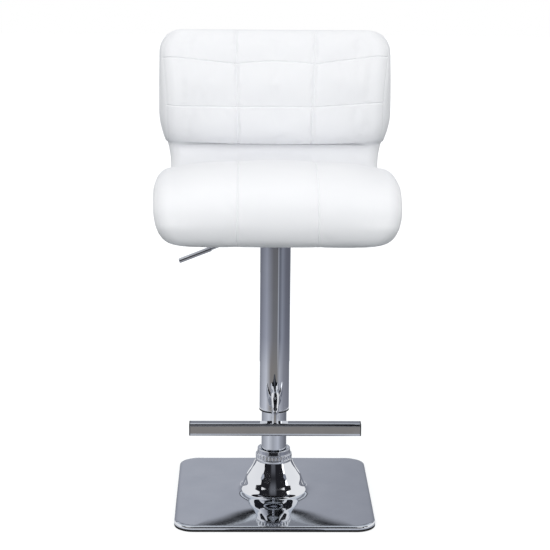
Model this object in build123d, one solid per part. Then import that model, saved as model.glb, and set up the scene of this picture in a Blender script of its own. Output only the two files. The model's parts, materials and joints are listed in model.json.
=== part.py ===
from build123d import *
import math
import os

# Adjustable swivel stool: an upholstered S-shaped seat on a gas-lift column.
# Millimetres. +Z is up, the sitter faces -Y, and the origin is on the floor under the column.

# Clearances
running_gap = 0.05      # radial gap of a shaft that turns or slides in its hole
glide_gap = 0.3         # radial gap of the sleeve's glide ring on the pillar
bolt_gap = 0.5          # radial gap of a bolt in its hole
stop_gap = 1.0          # room left between the glide ring and the collar at the lowest seat height
face_gap = 0.1          # axial gap between faces that turn on each other

# Height adjustment
lift_down = 80
lift_up = 135

# Base
base_side = 390
base_corner = 38
mat_thickness = 4
shell_wall = 1.5
plate_rise = 5.5        # how far the plate climbs from its rim to the foot of the bell
bell_foot_radius = 82
bell_bend_radius = 68.5
bell_bend_height = 3.5  # heights of the bell's profile are above its foot
bell_knee_radius = 63
bell_knee_height = 10
bell_shoulder_radius = 56.5
bell_shoulder_height = 26.5
bell_waist_radius = 44.5
bell_waist_height = 46
bell_top_radius = 36.5
bell_height = 63.5
weight_thickness = 4
weight_gap = 1          # ballast plate to the rim, all round
weight_headroom = 0.5   # ballast plate to the cover above it
collar_height = 24
collar_top_radius = 32
collar_bead_radius = 37
collar_bead_height = 7
collar_bead_lift = 6
collar_step = 5
collar_lip = 3

# Pillar
pillar_radius = 25.4
pillar_wall = 2
pillar_top = 425
flange_radius = 58
flange_thickness = 5
flange_bolt_circle = 44
flange_bolt_count = 4
flange_bolt_radius = 4
bolt_head_radius = 6.5
bolt_head_height = 5
bush_length = 75
bush_lip = 3

# Swivel bearing in the foot of the pillar
anchor_lift = 15        # anchor plug above the flange
anchor_thickness = 8
race_radius = 12
race_thickness = 2
race_bore_gap = 0.3
ball_radius = 2
ball_circle = 9.2
ball_count = 10
ball_gap = 0.05
cage_thickness = 2
cage_inner_radius = 6.6
cage_outer_radius = 11.8

# Gas spring
rod_radius = 5
rod_tail = 8            # length of rod below the anchor plug
rod_shoulder_radius = 8
rod_shoulder_height = 4
clip_radius = 9
clip_thickness = 1.5
clip_groove = 1
bump_radius = 11
bump_height = 14
bump_gap = 6            # rubber to cylinder at the lowest seat height
cylinder_radius = 14
cylinder_wall = 2
cylinder_length = 399
end_guide_length = 12
piston_length = 15
piston_stop_gap = 8     # piston to end guide at the highest seat height
taper_length = 30
taper_reduction = 0.75
head_thickness = 17
valve_radius = 4
valve_length = 12
valve_proud = 6
valve_bore_depth = 10
socket_wall = 4

# Sleeve and foot rest
sleeve_radius = 30
sleeve_wall = 1.5
ring_lip = 3
ring_length = 22
stem_radius = 9
stem_height = 62        # stem axis above the centre of the foot bar
stem_bend = 34
bar_length = 333
bar_section = 25
bar_corner = 3
bar_wall = 1.5
bar_reach = 112         # foot bar axis in front of the column
bar_drop = 15           # foot bar's lower side under the glide ring
cap_plate = 2
cap_plug = 12

# Seat mounting
tray_length = 120
tray_width = 100
tray_depth = 30
tray_wall = 3
plate_length = 210
plate_width = 180
seat_bolt_x = 85
seat_bolt_y = 70
seat_bolt_radius = 4
tee_barrel_radius = 5.5
tee_flange_radius = 11
tee_flange = 1.5
cover_length = 360
cover_width = 230
cover_thickness = 3

# Height lever
lever_offset = 40       # lever hinge to the column axis
lever_slope = 21.6      # degrees below level
lever_length = 160
lever_rod_radius = 3.25
grip_length = 67
grip_radius = 5
lever_eye_radius = 6
lever_width = 10
lever_pin_radius = 3
lever_arm = 4
lever_play = 0.5        # lever above the release button at rest
lever_overhang = 9
stub_length = 18
stub_radius = 5
stub_bore = 8
ear_thickness = 3
ear_gap = 3
ear_half = 7
slot_margin = 2

# Upholstery, outer shape
seat_width = 465
back_width = 462
waist_width = 417
seat_thickness = 129    # crest above the underside
seat_front = 228        # front of the roll, from the column axis
seat_bottom_corner = 42
seat_shoulder = 32
seat_crown = 14
seat_plan_corner = 42
back_height = 225       # top of the back above the crest of the seat
crease_drop = 1         # fold under the lumbar roll, below the crest of the seat
split_drop = 7          # seam between waist and back, below the fold
back_corner = 42
back_rear = 266
waist_front = 188       # front of the waist, behind the column axis
lumbar_front = 138
ply_thickness = 12
ply_width = 400
ply_front = 172
ply_cover = 11          # padding under the plywood
ply_bend = 85
ply_bend_start = 120
ply_lean = 4            # degrees
ply_top_margin = 32

# Heights that follow from the sizes above
rim_bottom = mat_thickness
weight_top = mat_thickness + weight_thickness
rim_top = weight_top + weight_headroom + shell_wall
bell_foot = rim_top + plate_rise
bell_top = bell_foot + bell_height
collar_top = bell_top + collar_height
flange_top = weight_top + flange_thickness
anchor_bottom = flange_top + anchor_lift
anchor_top = anchor_bottom + anchor_thickness
lower_race_top = anchor_top + race_thickness
ball_height = lower_race_top + ball_gap + ball_radius
upper_race_bottom = ball_height + ball_radius + ball_gap
upper_race_top = upper_race_bottom + race_thickness
shoulder_top = upper_race_top + rod_shoulder_height
bump_top = shoulder_top + bump_height
cylinder_bottom = bump_top + bump_gap + lift_down
cylinder_top = cylinder_bottom + cylinder_length
piston_bottom = cylinder_bottom + end_guide_length + lift_up + piston_stop_gap
piston_top = piston_bottom + piston_length
ring_bottom = collar_top + stop_gap + lift_down
sleeve_bottom = ring_bottom + ring_lip
tray_bottom = cylinder_top - head_thickness
tray_top = tray_bottom + tray_depth
valve_top = cylinder_top + valve_proud
arm_bottom = valve_top + lever_play
lever_height = cylinder_top
seat_bottom = tray_top + cover_thickness
crest = seat_bottom + seat_thickness
back_top = crest + back_height
crease = crest - crease_drop
split = crease - split_drop
ply_middle = seat_bottom + ply_cover + ply_thickness / 2
ply_top = back_top - ply_top_margin
bar_bottom = ring_bottom - bar_drop
bar_middle = bar_bottom + bar_section / 2
cylinder_inner = cylinder_radius - cylinder_wall
pillar_inner = pillar_radius - pillar_wall
sleeve_inner = sleeve_radius - sleeve_wall
cone_top_radius = cylinder_radius - taper_reduction
big = 1000              # half-size of the blocks that cut the padding into pieces


def rod(radius, bottom, top):
    """Upright cylinder on the column axis."""
    column = Cylinder(radius, top - bottom, align=(Align.CENTER, Align.CENTER, Align.MIN))
    return Pos(0, 0, bottom) * column


def ring(outer, inner, bottom, top):
    """Upright tube on the column axis."""
    return rod(outer, bottom, top) - rod(inner, bottom - 1, top + 1)


def turned(points):
    """Solid of revolution about the column from (radius, height) corners."""
    corners = [(radius, 0, height) for radius, height in points]
    return revolve(make_face(Polyline(*corners, close=True)), Axis.Z)


def block(low, high):
    """Box between two corners."""
    size = [high[axis] - low[axis] for axis in range(3)]
    middle = [(high[axis] + low[axis]) / 2 for axis in range(3)]
    return Pos(*middle) * Box(*size)


def rounded_plate(side, corner, bottom, top):
    """Square plate with round corners, centred on the column."""
    return Pos(0, 0, bottom) * extrude(RectangleRounded(side, side, corner), top - bottom)


def around(count, radius, start=0):
    """Places on a circle about the column."""
    turns = [math.radians(start + 360 * number / count) for number in range(count)]
    return [(radius * math.cos(turn), radius * math.sin(turn)) for turn in turns]


# Base


def base_body(inset):
    """Filled shape of the base cover, drawn in by inset on all sides."""
    side = base_side - 2 * inset
    corner = base_corner - inset
    foot = bell_foot_radius - inset
    top = rim_top - inset
    skirt = rounded_plate(side, corner, rim_bottom, top)
    wide = Pos(0, 0, top) * RectangleRounded(side, side, corner)
    narrow = Pos(0, 0, bell_foot - inset) * RectangleRounded(2 * foot, 2 * foot, foot * 0.999)
    plate = loft([wide, narrow])
    profile = [
        (foot, bell_foot - inset),
        (bell_bend_radius - inset, bell_foot + bell_bend_height - inset),
        (bell_knee_radius - inset, bell_foot + bell_knee_height),
        (bell_shoulder_radius - inset, bell_foot + bell_shoulder_height),
        (bell_waist_radius - inset, bell_foot + bell_waist_height),
        (bell_top_radius - inset, bell_top),
    ]
    flare = Spline(*[(radius, 0, height) for radius, height in profile])
    edge = Polyline(
        (profile[-1][0], 0, bell_top), (0, 0, bell_top), (0, 0, rim_bottom),
        (foot, 0, rim_bottom), (foot, 0, profile[0][1]),
    )
    bell = revolve(make_face([flare, *edge.edges()]), Axis.Z)
    return skirt + plate + bell


def base_shell():
    """Pressed and chromed cover: square rim, gently rising plate and bell."""
    return base_body(0) - base_body(shell_wall)


def floor_mat():
    """Rubber mat under the whole base, flush with the rim."""
    return rounded_plate(base_side, base_corner, 0, mat_thickness)


def base_weight():
    """Steel ballast plate that lies on the mat inside the rim."""
    side = base_side - 2 * (shell_wall + weight_gap)
    corner = base_corner - shell_wall - weight_gap
    plate = rounded_plate(side, corner, mat_thickness, weight_top)
    plate -= rod(pillar_inner, 0, weight_top + 1)
    for x, y in around(flange_bolt_count, flange_bolt_circle, 45):
        plate -= Pos(x, y, 0) * rod(flange_bolt_radius, 0, weight_top + 1)
    return plate


def pillar_flange():
    """Disc welded around the foot of the pillar."""
    disc = ring(flange_radius, pillar_radius, weight_top, flange_top)
    for x, y in around(flange_bolt_count, flange_bolt_circle, 45):
        disc -= Pos(x, y, 0) * rod(flange_bolt_radius + bolt_gap, 0, flange_top + 1)
    return disc


def flange_bolts():
    """Bolts from the flange into the ballast plate."""
    shank = rod(flange_bolt_radius, mat_thickness, flange_top)
    head = rod(bolt_head_radius, flange_top, flange_top + bolt_head_height)
    places = around(flange_bolt_count, flange_bolt_circle, 45)
    return [Pos(x, y, 0) * (shank + head) for x, y in places]


def bell_collar():
    """Turned collar on the bell, with a bead band and a stepped top."""
    bead_low = bell_top + collar_bead_lift
    bead_high = bead_low + collar_bead_height
    bead_middle = (bead_low + bead_high) / 2
    return turned([
        (pillar_radius, bell_top), (bell_top_radius, bell_top),
        (bell_top_radius - 1, bead_low), (collar_bead_radius, bead_middle),
        (collar_top_radius + 1, bead_high), (collar_top_radius, collar_top),
        (collar_top_radius - collar_lip, collar_top),
        (collar_top_radius - collar_lip, collar_top - collar_step),
        (pillar_radius, collar_top - collar_step),
    ])


def pillar_tube():
    """Fixed inner tube of the column."""
    return ring(pillar_radius, pillar_inner, weight_top, pillar_top)


def guide_bush():
    """Plastic bush in the top of the pillar that the gas cylinder slides in."""
    bore = cylinder_radius + running_gap
    plug = ring(pillar_inner, bore, pillar_top - bush_length, pillar_top)
    lip = ring(pillar_radius, bore, pillar_top, pillar_top + bush_lip)
    return plug + lip


def rod_anchor():
    """Plug in the foot of the pillar that carries the swivel bearing."""
    return ring(pillar_inner, rod_radius + running_gap, anchor_bottom, anchor_top)


# Swivel bearing and standing part of the gas spring


def lower_race():
    return ring(race_radius, rod_radius + race_bore_gap, anchor_top, lower_race_top)


def upper_race():
    return ring(race_radius, rod_radius, upper_race_bottom, upper_race_top)


def ball_cage():
    """Ring that spaces the balls."""
    bottom = ball_height - cage_thickness / 2
    cage = ring(cage_outer_radius, cage_inner_radius, bottom, bottom + cage_thickness)
    for x, y in around(ball_count, ball_circle):
        cage -= Pos(x, y, 0) * rod(ball_radius + ball_gap, bottom - 1, bottom + cage_thickness + 1)
    return cage


def bearing_balls():
    return [Pos(x, y, ball_height) * Sphere(ball_radius) for x, y in around(ball_count, ball_circle)]


def piston_rod():
    """Rod that stands on the bearing, with its shoulder and a groove for the clip."""
    tail = anchor_bottom - rod_tail
    shaft = rod(rod_radius, tail, piston_top)
    shoulder = rod(rod_shoulder_radius, upper_race_top, shoulder_top)
    groove_top = anchor_bottom - face_gap
    groove = ring(rod_radius + 1, rod_radius - clip_groove, groove_top - clip_thickness, groove_top)
    return shaft + shoulder - groove


def rod_clip():
    """Retaining clip under the anchor plug."""
    top = anchor_bottom - face_gap
    return ring(clip_radius, rod_radius - clip_groove, top - clip_thickness, top)


def bump_stop():
    return ring(bump_radius, rod_radius, shoulder_top, bump_top)


def piston():
    return ring(cylinder_inner - running_gap, rod_radius, piston_bottom, piston_top)


# Moving part of the gas spring and the column's sleeve


def cylinder_cone(gap):
    """Tapered head of the gas cylinder, grown by gap."""
    taper_bottom = cylinder_top - taper_length
    return turned([
        (0, taper_bottom), (cylinder_radius + gap, taper_bottom),
        (cone_top_radius + gap, cylinder_top), (0, cylinder_top),
    ])


def gas_cylinder():
    """Pressure tube with its tapered, bored head."""
    tube = rod(cylinder_radius, cylinder_bottom, cylinder_top - taper_length) + cylinder_cone(0)
    hollow = rod(cylinder_inner, cylinder_bottom - 1, cylinder_top - head_thickness)
    valve_bore = rod(valve_radius + running_gap, cylinder_top - valve_bore_depth, cylinder_top + 1)
    return tube - hollow - valve_bore


def cylinder_end_guide():
    bottom = cylinder_bottom
    return ring(cylinder_inner, rod_radius + running_gap, bottom, bottom + end_guide_length)


def valve_pin():
    """Release button in the head of the gas cylinder."""
    return rod(valve_radius, valve_top - valve_length, valve_top)


def taper_socket():
    """Steel socket that the cylinder's taper is wedged in."""
    outer = cylinder_radius + socket_wall
    return rod(outer, cylinder_top - taper_length, cylinder_top) - cylinder_cone(0)


def sleeve_tube():
    """Chromed outer tube that slides over the pillar."""
    return ring(sleeve_radius, sleeve_inner, sleeve_bottom, tray_bottom)


def sleeve_end_ring():
    """Plastic glide ring in the lower end of the sleeve."""
    bore = pillar_radius + glide_gap
    lip = ring(sleeve_radius, bore, ring_bottom, sleeve_bottom)
    return lip + ring(sleeve_inner, bore, sleeve_bottom, sleeve_bottom + ring_length)


# Foot rest


def foot_stem():
    """Round bar that leaves the sleeve level and bends down onto the foot bar."""
    height = bar_middle + stem_height
    path = FilletPolyline(
        (0, -sleeve_inner, height), (0, -bar_reach, height),
        (0, -bar_reach, bar_bottom + bar_section), radius=stem_bend,
    )
    start = Plane(origin=(0, -sleeve_inner, height), x_dir=(1, 0, 0), z_dir=(0, -1, 0))
    stem = sweep(start * Circle(stem_radius), path=path)
    return stem - rod(sleeve_radius, sleeve_bottom, tray_bottom)


def bar_tube(section, corner, length):
    """Rounded square bar along X at the foot bar's place."""
    profile = Plane.YZ * RectangleRounded(section, section, corner)
    return Pos(0, -bar_reach, bar_middle) * extrude(profile, length / 2, both=True)


def foot_bar():
    """Square tube for the feet."""
    length = bar_length - 2 * cap_plate
    hollow = bar_tube(bar_section - 2 * bar_wall, bar_corner - bar_wall, length + 2)
    return bar_tube(bar_section, bar_corner, length) - hollow


def bar_end_caps():
    """Plugs with square plates in the two ends of the foot bar."""
    inner_length = bar_length - 2 * cap_plate
    plates = bar_tube(bar_section, bar_corner, bar_length)
    plates -= block((-inner_length / 2, -big, -big), (inner_length / 2, big, big))
    plugs = bar_tube(bar_section - 2 * bar_wall, bar_corner - bar_wall, inner_length)
    plug_end = inner_length / 2 - cap_plug
    plugs -= block((-plug_end, -big, -big), (plug_end, big, big))
    return list((plates + plugs).solids())


# Seat mounting


def seat_bolt_places():
    return [(x, y) for x in (-seat_bolt_x, seat_bolt_x) for y in (-seat_bolt_y, seat_bolt_y)]


def lever_direction():
    slope = math.radians(lever_slope)
    return (-math.cos(slope), 0, -math.sin(slope))


def seat_plate():
    """Pressed tray and flange under the seat, with ears for the lever's pin."""
    x = tray_length / 2
    y = tray_width / 2
    flange_bottom = tray_top - tray_wall
    tray = block((-x, -y, tray_bottom), (x, y, tray_top))
    flange = block((-plate_length / 2, -plate_width / 2, flange_bottom),
                   (plate_length / 2, plate_width / 2, tray_top))
    plate = tray + flange
    plate -= block((tray_wall - x, tray_wall - y, tray_bottom + tray_wall),
                   (x - tray_wall, y - tray_wall, tray_top + 1))
    plate -= rod(cylinder_radius + socket_wall, tray_bottom - 1, tray_bottom + tray_wall + 1)
    ear_inner = lever_width / 2 + ear_gap
    for side in (-1, 1):
        near = side * ear_inner
        far = side * (ear_inner + ear_thickness)
        plate += block(
            (-lever_offset - ear_half, min(near, far), tray_bottom + tray_wall),
            (-lever_offset + ear_half, max(near, far), lever_height + ear_half),
        )
    plate -= lever_pin_hole(0)
    # Slot in the end wall that the lever passes through
    reach = x - lever_offset
    rod_height = lever_height - reach * math.tan(math.radians(lever_slope))
    half = stub_radius / math.cos(math.radians(lever_slope)) + slot_margin
    slot_low = max(rod_height - half, tray_bottom + tray_wall)
    plate -= block((-x - 1, -stub_radius - slot_margin, slot_low),
                   (tray_wall - x + 1, stub_radius + slot_margin, rod_height + half + slot_margin))
    for bolt_x, bolt_y in seat_bolt_places():
        plate -= Pos(bolt_x, bolt_y, 0) * rod(seat_bolt_radius + bolt_gap, tray_bottom, tray_top + 1)
    return plate


def lever_pin_hole(gap):
    """Cylinder along Y at the lever's hinge, grown by gap."""
    length = lever_width + 2 * (ear_gap + ear_thickness)
    place = Pos(-lever_offset, 0, lever_height) * Rot(90, 0, 0)
    return place * Cylinder(lever_pin_radius + gap, length)


def lever_pin():
    return lever_pin_hole(0)


def seat_bolts():
    """Bolts from the plate's flange into the tee nuts."""
    head_top = tray_top - tray_wall
    shank = rod(seat_bolt_radius, head_top, ply_middle)
    head = rod(bolt_head_radius, head_top - bolt_head_height, head_top)
    return [Pos(x, y, 0) * (shank + head) for x, y in seat_bolt_places()]


def tee_nut(bore):
    """One flanged nut set into the plywood from above."""
    ply_low = ply_middle - ply_thickness / 2
    ply_high = ply_middle + ply_thickness / 2
    nut = rod(tee_barrel_radius, ply_low, ply_high)
    nut += rod(tee_flange_radius, ply_high - tee_flange, ply_high)
    return nut - rod(bore, ply_low - 1, ply_middle) if bore else nut


def tee_nuts():
    return [Pos(x, y, 0) * tee_nut(seat_bolt_radius) for x, y in seat_bolt_places()]


def dust_cover():
    """Cloth panel between the plate and the underside of the seat."""
    cover = block((-cover_length / 2, -cover_width / 2, tray_top),
                  (cover_length / 2, cover_width / 2, seat_bottom))
    for x, y in seat_bolt_places():
        cover -= Pos(x, y, 0) * rod(seat_bolt_radius + bolt_gap, tray_top - 1, seat_bottom + 1)
    return cover


# Height lever


def along_lever(radius, start, end):
    """Cylinder along the lever between two distances from its hinge."""
    line = lever_direction()
    origin = (-lever_offset + start * line[0], 0, lever_height + start * line[2])
    place = Plane(origin=origin, x_dir=(0, 1, 0), z_dir=line)
    return place * Cylinder(radius, end - start, align=(Align.CENTER, Align.CENTER, Align.MIN))


def lever_paddle():
    """Hinged inner end of the lever: eye, arm over the release button and stub for the rod."""
    half = lever_width / 2
    eye = Pos(-lever_offset, 0, lever_height) * Rot(90, 0, 0) * Cylinder(lever_eye_radius, lever_width)
    post = block((-lever_offset - lever_arm / 2, -half, lever_height),
                 (-lever_offset + lever_arm / 2, half, arm_bottom + lever_arm))
    arm = block((-lever_offset - lever_arm / 2, -half, arm_bottom),
                (lever_overhang, half, arm_bottom + lever_arm))
    stub = along_lever(stub_radius, 0, stub_length)
    stub -= along_lever(lever_rod_radius, stub_length - stub_bore, stub_length + 1)
    return eye + post + arm + stub - lever_pin_hole(running_gap)


def lever_rod():
    return along_lever(lever_rod_radius, stub_length - stub_bore, lever_length - grip_radius)


def lever_grip():
    """Plastic grip pushed onto the rod."""
    grip = along_lever(grip_radius, lever_length - grip_length, lever_length)
    return grip - along_lever(lever_rod_radius, 0, lever_length - grip_radius)


# Upholstery


# Shares of the sideways and lengthways run at the five points of a slanting S-bend
s_bend = [(0, 0), (0.14, 0.27), (0.5, 0.5), (0.86, 0.73), (1, 1)]


def side_solid(edges, width):
    """Closed outline in the YZ plane, drawn out to a width along X."""
    return extrude(make_face(edges), width / 2, dir=(1, 0, 0), both=True)


def front_solid(edges):
    """Closed outline in the XZ plane, drawn out along Y."""
    return extrude(make_face(edges), big, dir=(0, 1, 0), both=True)


def ply_line(offset):
    """Edges parallel to the plywood's middle: level seat, bend and leaning back."""
    level = ply_middle + offset
    centre = (ply_bend_start, ply_middle + ply_bend)
    radius = ply_bend - offset
    end_turn = math.radians(90 - ply_lean)
    half_turn = end_turn / 2
    bend_middle = (0, centre[0] + radius * math.sin(half_turn), centre[1] - radius * math.cos(half_turn))
    bend_end = (0, centre[0] + radius * math.sin(end_turn), centre[1] - radius * math.cos(end_turn))
    rise = ply_top - bend_end[2]
    top = (0, bend_end[1] + rise * math.tan(math.radians(ply_lean)), ply_top)
    seat = Line((0, -ply_front, level), (0, ply_bend_start, level))
    bend = ThreePointArc((0, ply_bend_start, level), bend_middle, bend_end)
    return [seat, bend, Line(bend_end, top)]


def ply_core():
    """Bent plywood of seat and back before it is bored."""
    low = ply_line(-ply_thickness / 2)
    high = ply_line(ply_thickness / 2)
    front = Line(low[0] @ 0, high[0] @ 0)
    top = Line(low[-1] @ 1, high[-1] @ 1)
    return side_solid([*low, *high, front, top], ply_width)


def ply_shell():
    """Bent plywood core, bored for the tee nuts."""
    shell = ply_core()
    for x, y in seat_bolt_places():
        shell -= Pos(x, y, 0) * tee_nut(0)
    return shell


def sitting_side():
    """Everything in front of and above the plywood's middle."""
    middle = ply_line(0)
    start = middle[0] @ 0
    end = middle[-1] @ 1
    edge = Polyline(
        (0, end.Y, end.Z), (0, end.Y, big + ply_top), (0, -big, big + ply_top),
        (0, -big, -big), (0, start.Y, -big), (0, start.Y, start.Z),
    )
    return side_solid([*middle, *edge.edges()], 2 * big)


def arcs(points):
    """Arcs in a row, each through three of the points and starting where the last one ended."""
    return [ThreePointArc(*points[start:start + 3]) for start in range(0, len(points) - 1, 2)]


def padding():
    """Whole S-shaped body of the upholstery, cut square at its sides."""
    front = -seat_front
    sitting = [
        (front + 43, seat_bottom), (front + 12, seat_bottom + 13), (front, seat_bottom + 46),
        (front + 17, crest - 34), (front + 63, crest - 11),
        (front + 168, crest), (waist_front - 128, crest - 17),
        (waist_front - 73, crest - 33), (waist_front - 23, crest - 26),
        (waist_front - 6, crest - 12), (waist_front, crease),
    ]
    lumbar = [
        (lumbar_front + 15, crease + 15), (lumbar_front, crease + 58),
        (lumbar_front + 8, crest + 132), (lumbar_front + 40, back_top - 27),
        (back_rear - 54, back_top), (back_rear - 10, back_top - 16),
    ]
    rear = [
        (back_rear - 2, back_top - 36), (back_rear - 10, back_top - 62),
        (back_rear - 31, crest + 95), (back_rear - 25, crest + 20),
        (back_rear - 20, crest - 30), (back_rear - 44, seat_bottom + 50),
        (back_rear - 81, seat_bottom + 18), (back_rear - 146, seat_bottom),
    ]
    outline = arcs([(0, y, z) for y, z in sitting + lumbar + rear])
    underside = Line(outline[-1] @ 1, outline[0] @ 0)
    return side_solid([*outline, underside], 2 * seat_width)


def seat_front_view():
    """Seat seen from the front: round lower corners and a crowned top."""
    half = seat_width / 2
    shoulder = crest - seat_crown
    low = seat_bottom_corner
    high = seat_shoulder
    slant = math.sqrt(0.5)
    edges = [
        Line((low - half, 0, seat_bottom), (half - low, 0, seat_bottom)),
        ThreePointArc((high - half, 0, shoulder), (0, 0, crest + 2), (half - high, 0, shoulder)),
    ]
    for side in (-1, 1):
        wall = side * half
        low_bend = side * (half - low + low * slant)
        high_bend = side * (half - high + high * slant)
        edges += [
            ThreePointArc((side * (half - low), 0, seat_bottom),
                          (low_bend, 0, seat_bottom + low - low * slant), (wall, 0, seat_bottom + low)),
            Line((wall, 0, seat_bottom + low), (wall, 0, shoulder - high)),
            ThreePointArc((wall, 0, shoulder - high), (high_bend, 0, shoulder - high + high * slant),
                          (side * (half - high), 0, shoulder)),
        ]
    return front_solid(edges)


def back_front_view():
    """Back seen from the front: round top corners, drawn in to the waist below."""
    half = back_width / 2
    waist = waist_width / 2
    corner = back_corner
    slant = math.sqrt(0.5)
    waist_height = split
    side_start = crease + 64
    rise = side_start - waist_height
    floor = -big
    edges = [
        Line((-waist, 0, floor), (waist, 0, floor)),
        Line((corner - half, 0, back_top + 1), (half - corner, 0, back_top + 1)),
    ]
    for side in (-1, 1):
        bend = (side * (half - corner + corner * slant), 0, back_top + 1 - corner + corner * slant)
        edges += [
            Line((side * waist, 0, floor), (side * waist, 0, waist_height)),
            *arcs([(side * (waist + part * (half - waist)), 0, waist_height + step * rise)
                   for part, step in s_bend]),
            Line((side * half, 0, side_start), (side * half, 0, back_top + 1 - corner)),
            ThreePointArc((side * half, 0, back_top + 1 - corner), bend,
                          (side * (half - corner), 0, back_top + 1)),
        ]
    return front_solid(edges)


def seat_plan():
    """Seat seen from above: round front corners, drawn in to the waist at the rear."""
    half = seat_width / 2
    waist = waist_width / 2
    front = -seat_front - 1
    corner = seat_plan_corner
    slant = math.sqrt(0.5)
    narrowing = 40
    run = waist_front - narrowing
    edges = [
        Line((corner - half, front, 0), (half - corner, front, 0)),
        Line((-waist, big, 0), (waist, big, 0)),
    ]
    for side in (-1, 1):
        bend = (side * (half - corner + corner * slant), front + corner - corner * slant, 0)
        edges += [
            ThreePointArc((side * (half - corner), front, 0), bend, (side * half, front + corner, 0)),
            Line((side * half, front + corner, 0), (side * half, narrowing, 0)),
            *arcs([(side * (half - part * (half - waist)), narrowing + step * run, 0)
                   for part, step in s_bend]),
            Line((side * waist, waist_front, 0), (side * waist, big, 0)),
        ]
    return extrude(make_face(edges), big, dir=(0, 0, 1), both=True)


def padding_pieces():
    """Padding split where its covers are sewn together, with the plywood's pocket taken out."""
    body = padding()
    front = sitting_side()
    pocket = ply_core()
    seat_shape = seat_front_view() & seat_plan()
    back_shape = back_front_view()
    seat_rear = ply_bend_start
    below = block((-big, -big, -big), (big, big, split))
    above = block((-big, -big, split), (big, big, big + back_top))
    ahead = block((-big, -big, -big), (big, seat_rear, big + back_top))
    behind = block((-big, seat_rear, -big), (big, big, big + back_top))
    sitting = (body & front) - pocket
    outside = (body - front) - pocket
    nuts = [Pos(x, y, 0) * rod(seat_bolt_radius + bolt_gap, seat_bottom - 1, ply_middle)
            for x, y in seat_bolt_places()]
    under = outside & ahead & seat_shape
    for hole in nuts:
        under -= hole
    return {
        "seat_pad": sitting & ahead & seat_shape,
        "waist_pad": sitting & below & behind & seat_plan(),
        "back_pad": sitting & above & behind & back_shape,
        "rear_pad": outside & behind & back_shape,
        "under_pad": under,
    }


pieces = {
    "base_shell": base_shell(),
    "floor_mat": floor_mat(),
    "base_weight": base_weight(),
    "pillar_flange": pillar_flange(),
    "flange_bolts": flange_bolts(),
    "bell_collar": bell_collar(),
    "pillar_tube": pillar_tube(),
    "guide_bush": guide_bush(),
    "rod_anchor": rod_anchor(),
    "lower_race": lower_race(),
    "upper_race": upper_race(),
    "ball_cage": ball_cage(),
    "bearing_balls": bearing_balls(),
    "piston_rod": piston_rod(),
    "rod_clip": rod_clip(),
    "bump_stop": bump_stop(),
    "piston": piston(),
    "gas_cylinder": gas_cylinder(),
    "cylinder_end_guide": cylinder_end_guide(),
    "valve_pin": valve_pin(),
    "taper_socket": taper_socket(),
    "sleeve_tube": sleeve_tube(),
    "sleeve_end_ring": sleeve_end_ring(),
    "foot_stem": foot_stem(),
    "foot_bar": foot_bar(),
    "bar_end_caps": bar_end_caps(),
    "seat_plate": seat_plate(),
    "lever_pin": lever_pin(),
    "seat_bolts": seat_bolts(),
    "tee_nuts": tee_nuts(),
    "dust_cover": dust_cover(),
    "lever_paddle": lever_paddle(),
    "lever_rod": lever_rod(),
    "lever_grip": lever_grip(),
    "ply_shell": ply_shell(),
    **padding_pieces(),
}

os.makedirs("parts", exist_ok=True)
for name, shape in pieces.items():
    solid = Compound(children=shape) if isinstance(shape, list) else shape
    export_step(solid, f"parts/{name}.step")
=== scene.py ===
import json
import math

import bmesh
import bpy
import numpy as np
from mathutils import Matrix, Vector


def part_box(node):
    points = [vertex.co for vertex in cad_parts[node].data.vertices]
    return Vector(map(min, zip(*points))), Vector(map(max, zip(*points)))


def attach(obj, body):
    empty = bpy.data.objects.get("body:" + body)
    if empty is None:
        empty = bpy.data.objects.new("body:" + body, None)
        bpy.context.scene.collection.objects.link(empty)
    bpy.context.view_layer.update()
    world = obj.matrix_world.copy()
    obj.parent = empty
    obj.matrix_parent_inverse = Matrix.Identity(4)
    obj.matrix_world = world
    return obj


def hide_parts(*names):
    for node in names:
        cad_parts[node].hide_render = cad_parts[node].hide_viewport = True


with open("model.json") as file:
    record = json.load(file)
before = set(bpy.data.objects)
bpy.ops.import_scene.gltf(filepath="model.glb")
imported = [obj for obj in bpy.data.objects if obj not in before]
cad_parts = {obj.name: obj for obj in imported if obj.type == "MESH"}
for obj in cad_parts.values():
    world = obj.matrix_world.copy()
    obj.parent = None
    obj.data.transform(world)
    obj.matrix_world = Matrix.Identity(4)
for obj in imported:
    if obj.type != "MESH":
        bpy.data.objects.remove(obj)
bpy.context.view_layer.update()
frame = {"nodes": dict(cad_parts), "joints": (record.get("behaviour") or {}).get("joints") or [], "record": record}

# The looks of a gas-lift bar stool: quilted white leatherette on chromed steel.
# Metres, in the same frame as the solids: +Z up, the sitter faces -Y.
mm = 0.001


# Node and colour helpers


def linear(hex_colour, alpha=1.0):
    """sRGB hex such as F3F4F7 as a linear RGBA colour."""
    channels = [int(hex_colour[start:start + 2], 16) / 255 for start in (0, 2, 4)]
    curve = [c / 12.92 if c <= 0.04045 else ((c + 0.055) / 1.055) ** 2.4 for c in channels]
    return (*curve, alpha)


def put(tree, kind, inputs=None, **settings):
    """Adds a node: settings are its properties, inputs are values or sockets to link from."""
    node = tree.nodes.new("ShaderNode" + kind)
    for name, value in settings.items():
        setattr(node, name, value)
    for socket, value in (inputs or {}).items():
        if isinstance(value, bpy.types.NodeSocket):
            tree.links.new(value, node.inputs[socket])
        else:
            node.inputs[socket].default_value = value
    return node


def new_material(name):
    """Empty material with its principled shader and object coordinates."""
    material = bpy.data.materials.new(name)
    material.use_nodes = True
    tree = material.node_tree
    tree.nodes.clear()
    shader = put(tree, "BsdfPrincipled")
    put(tree, "OutputMaterial", {"Surface": shader.outputs["BSDF"]})
    place = put(tree, "TexCoord").outputs["Object"]
    return material, tree, shader, place


def set_shader(shader, **values):
    """Sets constant values on the shader's own sockets."""
    for name, value in values.items():
        shader.inputs[name.replace("_", " ")].default_value = value


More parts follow.
